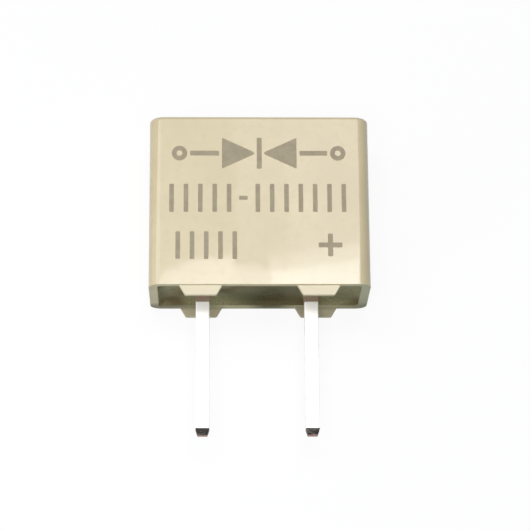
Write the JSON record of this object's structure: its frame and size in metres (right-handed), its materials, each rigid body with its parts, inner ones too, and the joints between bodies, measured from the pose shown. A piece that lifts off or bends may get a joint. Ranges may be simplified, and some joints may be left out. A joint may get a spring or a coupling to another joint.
{
  "type": "laser diode surge protector",
  "caption": "Small potted box with square through-hole pins and moulded standoffs, which shunts surges past a laser diode on a circuit board.",
  "frame": {"origin": "middle of the box around case and pins, on the surface that the back of the case lies on", "axes": "+X across the pins towards the anode pin, +Y along the pins away from their tips, +Z out of the marked face"},
  "size_m": [0.0104, 0.015, 0.004],
  "materials": {
    "case_plastic": "semi-gloss moulded beige thermoplastic",
    "potting_resin": "poured olive epoxy resin",
    "board_laminate": "glass-epoxy laminate",
    "pin_tin": "bright tin plate over a brass core",
    "solder": "reflowed solder",
    "copper": "copper foil",
    "package_plastic": "moulded black epoxy",
    "lead_tin": "matte tin plate",
    "capacitor_ceramic": "fired dielectric ceramic",
    "resistor_ceramic": "white alumina",
    "resistor_glaze": "black protective glaze"
  },
  "bodies": {
    "root": {"case": "case_plastic", "potting": "potting_resin", "circuit_board": "board_laminate", "anode_pin": "pin_tin", "cathode_pin": "pin_tin", "anode_solder": "solder", "cathode_solder": "solder", "anode_track": "copper", "cathode_track": "copper", "base_track": "copper", "transistor_body": "package_plastic", "transistor_emitter": "lead_tin", "transistor_base": "lead_tin", "transistor_collector": "lead_tin", "reverse_diode_body": "package_plastic", "reverse_diode_anode": "lead_tin", "reverse_diode_cathode": "lead_tin", "clamp_diode_body": "package_plastic", "clamp_diode_anode": "lead_tin", "clamp_diode_cathode": "lead_tin", "capacitor_body": "capacitor_ceramic", "capacitor_base_end": "lead_tin", "capacitor_cathode_end": "lead_tin", "resistor_body": "resistor_ceramic", "resistor_film": "resistor_glaze", "resistor_anode_end": "lead_tin", "resistor_base_end": "lead_tin"}
  },
  "joints": []
}
